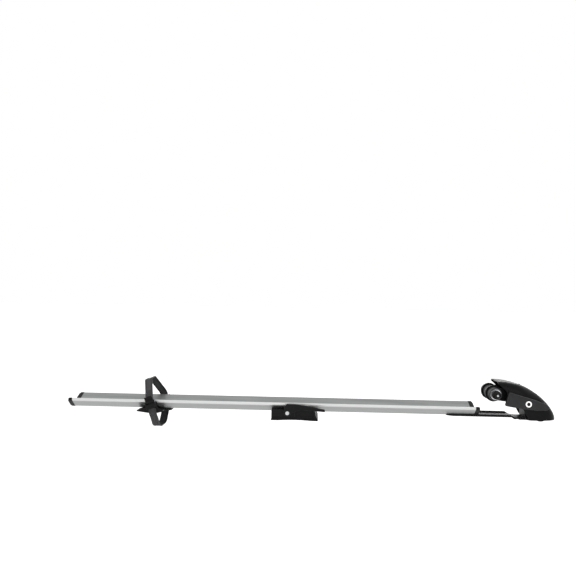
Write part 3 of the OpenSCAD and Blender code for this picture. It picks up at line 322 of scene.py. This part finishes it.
def rounded_copy(node, width, sharp_angle=32, flat_angle=1, given_up=6):
    """The solid's mesh with its sharp edges rounded, as its mould or die leaves them.
    Where a rounding would push a point off the surface, the nearest edges are left sharp."""
    whole = bmesh.new()
    whole.from_mesh(frame["nodes"][node].data)
    bmesh.ops.remove_doubles(whole, verts=whole.verts, dist=weld)
    surface = BVHTree.FromBMesh(whole)
    bmesh.ops.dissolve_limit(whole, angle_limit=math.radians(flat_angle), verts=whole.verts,
                             edges=whole.edges)
    whole.edges.ensure_lookup_table()
    sharp = [e.index for e in whole.edges
             if len(e.link_faces) == 2 and e.calc_face_angle(0) > math.radians(sharp_angle)]
    ends = {i: [v.co for v in whole.edges[i].verts] for i in sharp}
    while True:
        soft = whole.copy()
        soft.edges.ensure_lookup_table()
        wear_and_sheen = soft.faces.layers.float.new("worn_edge")
        made = bmesh.ops.bevel(soft, geom=[soft.edges[i] for i in sharp], offset=width,
                               offset_type="OFFSET", segments=2, profile=0.5, affect="EDGES",
                               clamp_overlap=False)
        strays = [v.co for v in soft.verts if surface.find_nearest(v.co)[3] > width]
        if not strays:
            break
        left_sharp = set()
        for stray in strays:
            nearest = sorted(sharp, key=lambda i: min((p - stray).length for p in ends[i]))
            left_sharp.update(nearest[:given_up])
        sharp = [i for i in sharp if i not in left_sharp]
        soft.free()
    # The rounded faces are marked for the paler edge colour, partly wear and partly a painted
    # highlight.
    for face in made["faces"]:
        face[wear_and_sheen] = 1.0
    mesh = bpy.data.meshes.new(node)
    soft.to_mesh(mesh)
    whole.free()
    soft.free()
    return mesh


def soften(name, node, width, finish):
    return stand_for(node, name, coat(shade(rounded_copy(node, width)), finish))


nylon = new_finish("grained_nylon", 0.15)
nylon_skin = two_tone(nylon, noise(nylon, 45), (0.0045, 0.0045, 0.005), (0.0075, 0.0075, 0.008))
wear_and_highlight_edges(nylon, nylon_skin, (0.034, 0.034, 0.036))
set_shader(nylon, "Roughness", spread(nylon, noise(nylon, 380), 0.42, 0.56))
raise_grain(nylon, noise(nylon, 2600, detail=1.0), 0.30, 0.0001)
for cap_name, cap_node, rail_side in (("tray_cap_rear", "rear_end_cap", 0),
                                      ("tray_cap_front", "front_end_cap", 1)):
    rail_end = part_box("rail")[rail_side].x
    outward = 2 * rail_side - 1
    cap = rounded_copy(cap_node, 0.0005)
    for point in cap.vertices:
        if (point.co.x - rail_end) * outward > -end_slack:
            away = Vector((0, point.normal.y, point.normal.z))
            if away.length > sideways:
                point.co += away.normalized() * rim_proud
            if abs(point.co.x - rail_end) < seam:
                point.co.x -= outward * rim_over
    stand_for(cap_node, cap_name, coat(shade(cap), nylon))

# The fork head's casting: tongue, foot plate and cheeks in one piece of cast aluminium,
# black powder coat with a little orange peel, thin along the edges and painted pale there,
# partly wear and partly a painted highlight.
powder = new_finish("black_powder_coat", 0.1)
powder_skin = two_tone(powder, noise(powder, 60), (0.005, 0.005, 0.0052), (0.008, 0.008, 0.0083))
wear_and_highlight_edges(powder, powder_skin, (0.036, 0.036, 0.038))
set_shader(powder, "Roughness", spread(powder, noise(powder, 300), 0.36, 0.48))
raise_grain(powder, noise(powder, 900, detail=1.5), 0.22, 0.0002)
soften("head_casting", "head_frame", 0.0008, powder)

# Screws, pins, cams and yokes: turned and pressed steel, zinc plated, a little cloudy
# where the plating took unevenly.
zinc = new_finish("zinc_plate", 0.5, 1.0)
zinc_skin = two_tone(zinc, noise(zinc, 220), (0.42, 0.43, 0.45), (0.58, 0.58, 0.59))
set_shader(zinc, "Base Color", zinc_skin)
set_shader(zinc, "Roughness", spread(zinc, noise(zinc, 900), 0.24, 0.40))
raise_grain(zinc, noise(zinc, 1500), 0.06, 0.0001)
dress(zinc, "tongue_screws", "tongue_nuts", "hood_screws", "cam_bushes", "lock_striker",
      "axle_core", "fork_seats", "skewer_rod", "qr_lever_pin", "cam_shaft", "shaft_clip",
      "lock_tongue", "front_yoke", "front_adjust_nut", "foot_screws", "foot_cam_pin",
      "foot_yoke", "foot_guide_bolt", "carriage_screws", "buckle_pin", "strap_pin")

# The bar pads under the head: black rubber strips, moulded with a row of gripping ribs
# on the face that sits on the bar, and glued to the foot plate.
pad_sole, pad_rib_h, pad_rib_step, pad_margin = 0.0006, 0.0006, 0.005, 0.004
pad_rib_len, pad_rib_w, pad_rib_root, pad_rib_inset = 0.0095, 0.0022, 0.0004, 0.0012


def new_tree(name, *inputs):
    tree = bpy.data.node_groups.new(name, "GeometryNodeTree")
    tree.interface.new_socket("Geometry", in_out="INPUT", socket_type="NodeSocketGeometry")
    for label, kind in inputs:
        tree.interface.new_socket(label, in_out="INPUT", socket_type="NodeSocket" + kind)
    tree.interface.new_socket("Geometry", in_out="OUTPUT", socket_type="NodeSocketGeometry")
    return tree, tree.nodes.new("NodeGroupInput").outputs


def add_node(tree, kind, settings=(), **sources):
    """A node with its settings, and its inputs linked to sockets or set to values, by name."""
    node = tree.nodes.new(kind)
    for label, choice in settings:
        setattr(node, label, choice)
    for label, source in sources.items():
        slot_in = node.inputs[label.replace("_", " ")]
        if isinstance(source, bpy.types.NodeSocket):
            tree.links.new(source, slot_in)
        else:
            slot_in.default_value = source
    return node


def end_tree(tree, geometry, finish):
    solid = add_node(tree, "GeometryNodeRealizeInstances", Geometry=geometry)
    coated = add_node(tree, "GeometryNodeSetMaterial", Geometry=solid.outputs[0], Material=finish)
    add_node(tree, "NodeGroupOutput", Geometry=coated.outputs[0])


def grow(name, base, tree, **values):
    """Runs a tree on a mesh or curve and keeps the result as a plain mesh."""
    holder = bpy.data.objects.new(name, base)
    scene.collection.objects.link(holder)
    grower = holder.modifiers.new(name, "NODES")
    grower.node_group = tree
    for item in tree.interface.items_tree:
        if item.in_out == "INPUT" and item.name in values:
            grower[item.identifier] = values[item.name]
    mesh = settled(holder)
    mesh.name = name
    return mesh


def ridge(name, length, width, height, root):
    """One rib along X: a low half round that tapers at its ends, its root below z = 0."""
    arc = [math.pi * i / 6 for i in range(7)]
    outline = [(-math.cos(a) * width / 2, math.sin(a) * height) for a in arc]
    outline += [(width / 2, -root), (-width / 2, -root)]
    shoulder = length / 2 - width / 2
    stations = ((-length / 2, 0.5), (-shoulder, 1), (shoulder, 1), (length / 2, 0.5))
    n = len(outline)
    points = [(x, y * k, z * k if z > 0 else z) for x, k in stations for y, z in outline]
    sides = [(s * n + i, (s + 1) * n + i, (s + 1) * n + (i + 1) % n, s * n + (i + 1) % n)
             for s in range(len(stations) - 1) for i in range(n)]
    caps = [tuple(range(n)), tuple(range(len(points) - 1, len(points) - 1 - n, -1))]
    mesh = bpy.data.meshes.new(name)
    mesh.from_pydata(points, [], sides + caps)
    fix = bmesh.new()
    fix.from_mesh(mesh)
    bmesh.ops.recalc_face_normals(fix, faces=fix.faces)
    fix.to_mesh(mesh)
    fix.free()
    mesh.shade_smooth()
    return mesh


def joined(name, *meshes):
    whole = bmesh.new()
    for mesh in meshes:
        whole.from_mesh(mesh)
    mesh = meshes[0].copy()
    mesh.name = name
    whole.to_mesh(mesh)
    whole.free()
    return mesh


rib_row, row_in = new_tree("rib_row", ("Count", "Int"), ("Start", "Vector"), ("Step", "Vector"),
                           ("Coat", "Material"))
rib_line = add_node(rib_row, "GeometryNodeMeshLine", Count=row_in["Count"],
                    Start_Location=row_in["Start"], Offset=row_in["Step"])
rib_set = add_node(rib_row, "GeometryNodeInstanceOnPoints", Points=rib_line.outputs[0],
                   Instance=row_in["Geometry"])
end_tree(rib_row, rib_set.outputs[0], row_in["Coat"])

rubber = new_finish("pad_rubber", 0.1)
rubber_skin = two_tone(rubber, noise(rubber, 80), (0.004, 0.004, 0.004), (0.007, 0.007, 0.007))
set_shader(rubber, "Base Color", rubber_skin)
set_shader(rubber, "Roughness", spread(rubber, noise(rubber, 500), 0.72, 0.88))
raise_grain(rubber, noise(rubber, 1800), 0.3, 0.0002)

for pad_name, pad_node in (("head_rubber_near", "head_pad_near"),
                           ("head_rubber_far", "head_pad_far")):
    pad = shade(rounded_copy(pad_node, 0.0005))
    low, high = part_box(pad_node)
    for point in pad.vertices:
        if point.co.z < pad_sole:
            point.co.z += pad_rib_h
    side = 1 if high.y > 0 else -1
    inner = min(abs(low.y), abs(high.y))
    first_rib = (low.x + pad_margin, side * (inner + pad_rib_len / 2 + pad_rib_inset),
                 low.z + pad_rib_h)
    rib_count = int((high.x - low.x - 2 * pad_margin) / pad_rib_step) + 1
    rib = ridge("pad_rib", pad_rib_len, pad_rib_w, pad_rib_h, pad_rib_root)
    rib.transform(Matrix.Rotation(math.pi / 2, 4, "Z"))
    rib.transform(Matrix.Rotation(math.pi, 4, "Y"))
    ribs = grow("pad_ribs", rib, rib_row, Count=rib_count, Start=first_rib,
                Step=(pad_rib_step, 0, 0), Coat=rubber)
    stand_for(pad_node, pad_name, joined(pad_name, coat(pad, rubber), ribs))

# The clamp barrel: a grey nylon sleeve round the axle, gripped by the two cheeks, with the
# same spark grain as the black mouldings.
grey = new_finish("grey_nylon", 0.3)
grey_skin = two_tone(grey, noise(grey, 50), (0.045, 0.045, 0.047), (0.060, 0.060, 0.062))
# Paler edges: partly wear, partly a painted highlight.
wear_and_highlight_edges(grey, grey_skin, (0.085, 0.085, 0.088))
set_shader(grey, "Roughness", spread(grey, noise(grey, 400), 0.40, 0.52))
raise_grain(grey, noise(grey, 2400, detail=1.0), 0.2, 0.0001)
soften("clamp_barrel", "axle_barrel", 0.0003, grey)

# The quick-release skewer's cap, nut and lever: small castings with the head's black
# powder coat, on a steel rod through the axle.
soften("skewer_cap", "cam_cap", 0.0003, powder)
soften("skewer_end_nut", "skewer_nut", 0.0003, powder)
soften("skewer_lever", "qr_lever", 0.0008, powder)

# The hood over the head: a thin nylon moulding, smoother than the rest, screwed to the
# foot plate from below.
satin = new_finish("satin_nylon", 0.1)
satin_skin = two_tone(satin, noise(satin, 30), (0.004, 0.004, 0.0043), (0.0065, 0.0065, 0.007))
# Paler edges: partly wear, partly a painted highlight.
wear_and_highlight_edges(satin, satin_skin, (0.022, 0.022, 0.024))
set_shader(satin, "Roughness", spread(satin, noise(satin, 260), 0.33, 0.43))
raise_grain(satin, noise(satin, 3400, detail=1.0), 0.16, 0.0001)
soften("head_hood", "hood", 0.0005, satin)

# The clamp lever on the hood's flank: a hollow nylon grip on the cam shaft, a little paler
# than the hood, painted bright along its edges, partly wear from hands and partly a painted
# highlight, and drawn in to a round end at its hub.
grip = new_finish("grip_nylon", 0.2)
grip_skin = two_tone(grip, noise(grip, 36), (0.026, 0.026, 0.0275), (0.034, 0.034, 0.036))
wear_and_highlight_edges(grip, grip_skin, (0.085, 0.085, 0.088))
set_shader(grip, "Roughness", spread(grip, noise(grip, 320), 0.38, 0.50))
raise_grain(grip, noise(grip, 3000, detail=1.0), 0.22, 0.0001)
grip_inside, hub_z, taper_from, taper_to = -0.0465, 0.038, -0.026, 0.65
clamp_grip = rounded_copy("clamp_lever", 0.0009)
for point in clamp_grip.vertices:
    if point.co.y < grip_inside and point.co.x > taper_from:
        near_hub = min(1, 1 - point.co.x / taper_from)
        ease = near_hub * near_hub * (3 - 2 * near_hub)
        point.co.z = hub_z + (point.co.z - hub_z) * (1 - (1 - taper_to) * ease)
        if point.co.x > 0:
            point.co.x *= taper_to
stand_for("clamp_lever", "clamp_grip", coat(shade(clamp_grip), grip))

# The lock: a nickel plated cylinder, turned on a lathe, pressed into the clamp lever, with
# a darker plug that has the key's slot.
lock_x, lock_z = -0.0466, 0.0477


def turned_rings(finish, pitch):
    tree = finish.node_tree
    centred = tree.nodes.new("ShaderNodeMapping")
    centred.inputs["Location"].default_value = (-lock_x, 0, -lock_z)
    centred.inputs["Scale"].default_value = (1, 0, 1)
    tree.links.new(place_on(finish), centred.inputs["Vector"])
    out = tree.nodes.new("ShaderNodeVectorMath")
    out.operation = "LENGTH"
    tree.links.new(centred.outputs["Vector"], out.inputs[0])
    turns = combine(finish, "MULTIPLY", out.outputs["Value"], 2 * math.pi / pitch)
    return combine(finish, "SINE", turns, 0)


nickel = new_finish("turned_nickel", 0.5, 1.0)
rings = turned_rings(nickel, 0.0007)
nickel_skin = two_tone(nickel, noise(nickel, 500), (0.74, 0.73, 0.71), (0.86, 0.85, 0.83))
# Paler edges: partly wear, partly a painted highlight.
wear_and_highlight_edges(nickel, nickel_skin, (0.92, 0.91, 0.89))
set_shader(nickel, "Roughness", spread(nickel, rings, 0.16, 0.26, -1, 1))
raise_grain(nickel, rings, 0.10, 0.0001)
soften("lock_ring", "lock_housing", 0.00025, nickel)
dull_plug = new_finish("oiled_plug", 0.5, 1.0)
plug_rings = turned_rings(dull_plug, 0.0005)
plug_skin = two_tone(dull_plug, noise(dull_plug, 420), (0.016, 0.016, 0.016), (0.03, 0.03, 0.03))
# Paler edges: partly wear, partly a painted highlight.
wear_and_highlight_edges(dull_plug, plug_skin, (0.10, 0.10, 0.10))
set_shader(dull_plug, "Roughness", spread(dull_plug, plug_rings, 0.34, 0.46, -1, 1))
raise_grain(dull_plug, plug_rings, 0.08, 0.0001)
soften("lock_core", "lock_plug", 0.00015, dull_plug)

# The clamp bolts' T-heads: forged steel under a black coat, which slide into the slots of
# the two bars, and the zinc plated clamp bar of the mid foot.
soften("front_bolt", "front_t_bolt", 0.0005, powder)
soften("foot_bar", "foot_clamp_bar", 0.0005, zinc)

# The mid foot, its lever and its pad: nylon mouldings like the end caps, on a keyed shoe
# in the T-slot, with a rubber pad below that the bar presses on.
soften("foot_block", "foot_body", 0.0008, nylon)
soften("foot_grip", "foot_lever", 0.0008, nylon)
soften("foot_rubber", "foot_pad", 0.0005, rubber)
dress(nylon, "foot_shoe", "carriage_shoe")

# The wheel carriage and the buckle on its near ear: nylon mouldings that slide along the
# T-slot. The buckle's lever has a few moulded ribs for the thumb.
strap_x, strap_pin_z, strap_lean = -1.050, 0.022, math.radians(18)
strap_at = Matrix.Translation((strap_x, 0, strap_pin_z)) @ Matrix.Rotation(-strap_lean, 4, "Y")
thumb_face, thumb_low, thumb_step = -0.070, 0.0148, 0.0018
soften("wheel_carriage", "carriage", 0.0007, nylon)
soften("buckle_body", "buckle_frame", 0.0005, nylon)
thumb = ridge("thumb_rib", 0.0165, 0.0011, 0.0005, 0.0004)
thumb.transform(Matrix.Rotation(math.pi / 2, 4, "X"))
thumb_ribs = grow("thumb_ribs", thumb, rib_row, Count=4, Start=(0, thumb_face, thumb_low),
                  Step=(0, 0, thumb_step), Coat=nylon)
thumb_ribs.transform(strap_at)
buckle_arm = coat(shade(rounded_copy("buckle_lever", 0.0004)), nylon)
stand_for("buckle_lever", "buckle_arm", joined("buckle_arm", buckle_arm, thumb_ribs))

# The wheel strap: a moulded elastomer band over the rim, with rolled edges, a shallow
# channel down its outer face and ratchet teeth in it. Its far end is an eye on the pin.
strap_half_w, strap_half_t, strap_y = 0.0105, 0.0015, 0.0605
eye_shift, eye_radius, eye_steps = 0.012, 0.00393, 40
eye_flat, eye_shoulder, eye_half_t = 0.0100, 0.0009, 0.00135
tooth_pitch, tooth_rise = 0.003, 0.0009


def rounded_path(corners, steps=14):
    """Points with their place along the corner list, from corners (y, z, radius).
    Each corner takes five places of the list and each straight between takes one."""
    corner_pitch, corner_share = 6, 5
    points = [(Vector(corners[0][:2]), 0.0)]
    for k in range(1, len(corners) - 1):
        before, corner, after = (Vector(c[:2]) for c in corners[k - 1:k + 2])
        radius = corners[k][2]
        a, b = (before - corner).normalized(), (after - corner).normalized()
        half = a.angle(b) / 2
        centre = corner + (a + b).normalized() * radius / math.sin(half)
        start = corner + a * radius / math.tan(half) - centre
        turn = start.angle_signed(corner + b * radius / math.tan(half) - centre)
        for i in range(steps + 1):
            arm = Matrix.Rotation(-turn * i / steps, 2) @ start
            place = 1 + (k - 1) * corner_pitch + corner_share * i / steps
            points.append((centre + arm, place))
    points.append((Vector(corners[-1][:2]), 1 + (len(corners) - 2) * corner_pitch))
    return points


def poly_curve(name, points, cyclic=False):
    curve = bpy.data.curves.new(name, "CURVE")
    curve.dimensions = "3D"
    line = curve.splines.new("POLY")
    line.points.add(len(points) - 1)
    for knot, p in zip(line.points, points):
        knot.co = (*p, 1)
    line.use_cyclic_u = cyclic
    return curve


def strap_section(side):
    """Rounded band with a channel on the face that side (1 or -1) points out of."""
    edge, lip, channel, slope, r = strap_half_w, 0.0066, 0.0007, 0.0006, 0.0008
    t = strap_half_t
    arc = [math.radians(a) for a in (0, 30, 60, 90)]
    top = [(-edge + r - r * math.cos(a), t - r + r * math.sin(a)) for a in arc]
    top += [(-lip, t), (-lip + slope, channel), (lip - slope, channel), (lip, t)]
    top += [(edge - r + r * math.sin(a), t - r + r * math.cos(a)) for a in arc]
    low = [(edge - r + r * math.cos(a), -t + r - r * math.sin(a)) for a in arc]
    low += [(-edge + r - r * math.sin(a), -t + r - r * math.cos(a)) for a in arc]
    return [(u, v * side, 0) for u, v in top + low]


def eye_section():
    """Flat band with small chamfers, for the loop round the pin."""
    right = [(eye_flat, -eye_half_t), (strap_half_w, -eye_shoulder),
             (strap_half_w, eye_shoulder), (eye_flat, eye_half_t)]
    left = [(-u, -v) for u, v in right]
    return [(u, v, 0) for u, v in left[3:] + right + left[:3]]


band_tree, band_in = new_tree("band_on_path", ("Section", "Object"), ("Across", "Vector"),
                              ("Coat", "Material"))
section_shape = add_node(band_tree, "GeometryNodeObjectInfo", Object=band_in["Section"])
section_at = add_node(band_tree, "GeometryNodeInputPosition")
section_u = add_node(band_tree, "ShaderNodeSeparateXYZ", Vector=section_at.outputs[0])
section_marked = add_node(band_tree, "GeometryNodeStoreNamedAttribute",
                          Geometry=section_shape.outputs["Geometry"], Name="across",
                          Value=section_u.outputs["X"])
path_facing = add_node(band_tree, "GeometryNodeSetCurveNormal", (("mode", "FREE"),),
                       Curve=band_in["Geometry"], Normal=band_in["Across"])
band_skin = add_node(band_tree, "GeometryNodeCurveToMesh", Curve=path_facing.outputs[0],
                     Profile_Curve=section_marked.outputs[0], Fill_Caps=True)
end_tree(band_tree, band_skin.outputs[0], band_in["Coat"])

tooth_tree, tooth_in = new_tree("teeth_on_path", ("Tooth", "Object"), ("Pitch", "Float"),
                                ("First", "Int"), ("Last", "Int"), ("Across", "Vector"),
                                ("Rise", "Float"), ("Coat", "Material"))
tooth_spots = add_node(tooth_tree, "GeometryNodeResampleCurve", (("mode", "LENGTH"),),
                       Curve=tooth_in["Geometry"], Length=tooth_in["Pitch"])
tooth_along = add_node(tooth_tree, "GeometryNodeInputTangent")
tooth_out = add_node(tooth_tree, "ShaderNodeVectorMath", (("operation", "CROSS_PRODUCT"),))
tooth_tree.links.new(tooth_in["Across"], tooth_out.inputs[0])
tooth_tree.links.new(tooth_along.outputs[0], tooth_out.inputs[1])
tooth_lift = add_node(tooth_tree, "ShaderNodeVectorMath", (("operation", "SCALE"),),
                      Vector=tooth_out.outputs["Vector"], Scale=tooth_in["Rise"])
tooth_raised = add_node(tooth_tree, "GeometryNodeSetPosition", Geometry=tooth_spots.outputs[0],
                        Offset=tooth_lift.outputs["Vector"])
tooth_square = add_node(tooth_tree, "FunctionNodeAlignRotationToVector", (("axis", "X"),),
                        Vector=tooth_in["Across"])
tooth_turned = add_node(tooth_tree, "FunctionNodeAlignRotationToVector",
                        (("axis", "Y"), ("pivot_axis", "X")), Rotation=tooth_square.outputs[0],
                        Vector=tooth_along.outputs[0])
tooth_index = add_node(tooth_tree, "GeometryNodeInputIndex")
tooth_after = add_node(tooth_tree, "ShaderNodeMath", (("operation", "GREATER_THAN"),))
tooth_before = add_node(tooth_tree, "ShaderNodeMath", (("operation", "LESS_THAN"),))
tooth_kept = add_node(tooth_tree, "ShaderNodeMath", (("operation", "MULTIPLY"),))
for place, (test, limit) in enumerate(((tooth_after, "First"), (tooth_before, "Last"))):
    tooth_tree.links.new(tooth_index.outputs[0], test.inputs[0])
    tooth_tree.links.new(tooth_in[limit], test.inputs[1])
    tooth_tree.links.new(test.outputs[0], tooth_kept.inputs[place])
tooth_shape = add_node(tooth_tree, "GeometryNodeObjectInfo", Object=tooth_in["Tooth"])
tooth_set = add_node(tooth_tree, "GeometryNodeInstanceOnPoints", Points=tooth_raised.outputs[0],
                     Selection=tooth_kept.outputs[0], Instance=tooth_shape.outputs["Geometry"],
                     Rotation=tooth_turned.outputs[0])
end_tree(tooth_tree, tooth_set.outputs[0], tooth_in["Coat"])

elastomer = new_finish("strap_elastomer", 0.3)
strap_u = elastomer.node_tree.nodes.new("ShaderNodeAttribute")
strap_u.attribute_name = "across"
off_centre = combine(elastomer, "ABSOLUTE", strap_u.outputs["Fac"], 0)
# Painted shade: the band's colour darkens from its middle towards its rolled edges.
edge_painted_shade = spread(elastomer, off_centre, 0.0, 1.0, 0.0035, 0.0095)
strap_mid = two_tone(elastomer, noise(elastomer, 70), (0.062, 0.062, 0.065), (0.078, 0.078, 0.081))
set_shader(elastomer, "Base Color", overlay(elastomer, edge_painted_shade, strap_mid, (0.030, 0.030, 0.032)))
set_shader(elastomer, "Roughness", spread(elastomer, noise(elastomer, 500), 0.42, 0.58))
raise_grain(elastomer, noise(elastomer, 2000, detail=1.0), 0.15, 0.0001)

tooth_mesh = ridge("strap_tooth", 0.0112, 0.0013, 0.0007, 0.0003)
tooth = bpy.data.objects.new("strap_tooth", tooth_mesh)
sections = {}
for section_name, section_points in (("arch_section", strap_section(-1)),
                                     ("tail_section", strap_section(1)),
                                     ("eye_section", eye_section())):
    section_curve = poly_curve(section_name, section_points, True)
    sections[section_name] = bpy.data.objects.new(section_name, section_curve)


def band(name, path, section, across, cyclic=False):
    mesh = grow(name, poly_curve(name, path, cyclic), band_tree, Section=sections[section],
                Across=across, Coat=elastomer)
    fix = bmesh.new()
    fix.from_mesh(mesh)
    bmesh.ops.remove_doubles(fix, verts=fix.verts, dist=weld)
    bmesh.ops.recalc_face_normals(fix, faces=fix.faces)
    fix.to_mesh(mesh)
    fix.free()
    return shade(mesh)


def teeth(name, path, first, last, across, rise):
    return grow(name, poly_curve(name, path), tooth_tree, Tooth=tooth, Pitch=tooth_pitch,
                First=first, Last=last, Across=across, Rise=rise, Coat=elastomer)


arch = rounded_path([(-strap_y, -0.003), (-strap_y, 0.019, 0.016), (-0.015, 0.068, 0.012),
                     (0.015, 0.068, 0.012), (strap_y, 0.017, 0.016), (strap_y, 0.003)])
arch_path = [strap_at @ Vector((eye_shift * ((p.x + strap_y) / (2 * strap_y)) ** 2, p.x, p.y))
             for p, _ in arch]
arch_across = (math.cos(strap_lean), 0, math.sin(strap_lean))
eye_turns = [2 * math.pi * i / eye_steps for i in range(eye_steps)]
eye_ring = [strap_at @ Vector((eye_shift, strap_y + eye_radius * math.cos(a),
                               eye_radius * math.sin(a))) for a in eye_turns]
strap = joined("strap_over_rim", band("strap_band", arch_path, "arch_section", arch_across),
               band("strap_eye", eye_ring, "eye_section", arch_across, True),
               teeth("strap_teeth", arch_path, 8, 17, arch_across, tooth_rise))
keep_piece("strap_over_rim", strap, "wheel_strap", "strap_rubber", "wheel_strap")

# The strap's free end: below the buckle it hangs in a loop under the rail, and its tip is
# tucked into a slot on the carriage's far side.
ear_z, tail_start, tail_drift = 0.010, 0.0026, 0.0174
tail_at = Matrix.Translation((strap_x, 0, ear_z))
tail = rounded_path([(-strap_y, 0.0053), (-strap_y, -0.014, 0.022), (-0.026, -0.0495, 0.022),
                     (0.020, -0.0495, 0.022), (0.050, -0.014, 0.018), (0.050, -0.0045)])
last_place = tail[-1][1]
tail_path = [tail_at @ Vector((tail_start + tail_drift * place / last_place, p.x, p.y))
             for p, place in tail]
free_end = joined("strap_free_end", band("tail_band", tail_path, "tail_section", (1, 0, 0)),
                  teeth("tail_teeth", tail_path, 0, 46, (1, 0, 0), -tooth_rise))
keep_piece("strap_free_end", free_end, "carriage", "strap_rubber", "strap_tail")
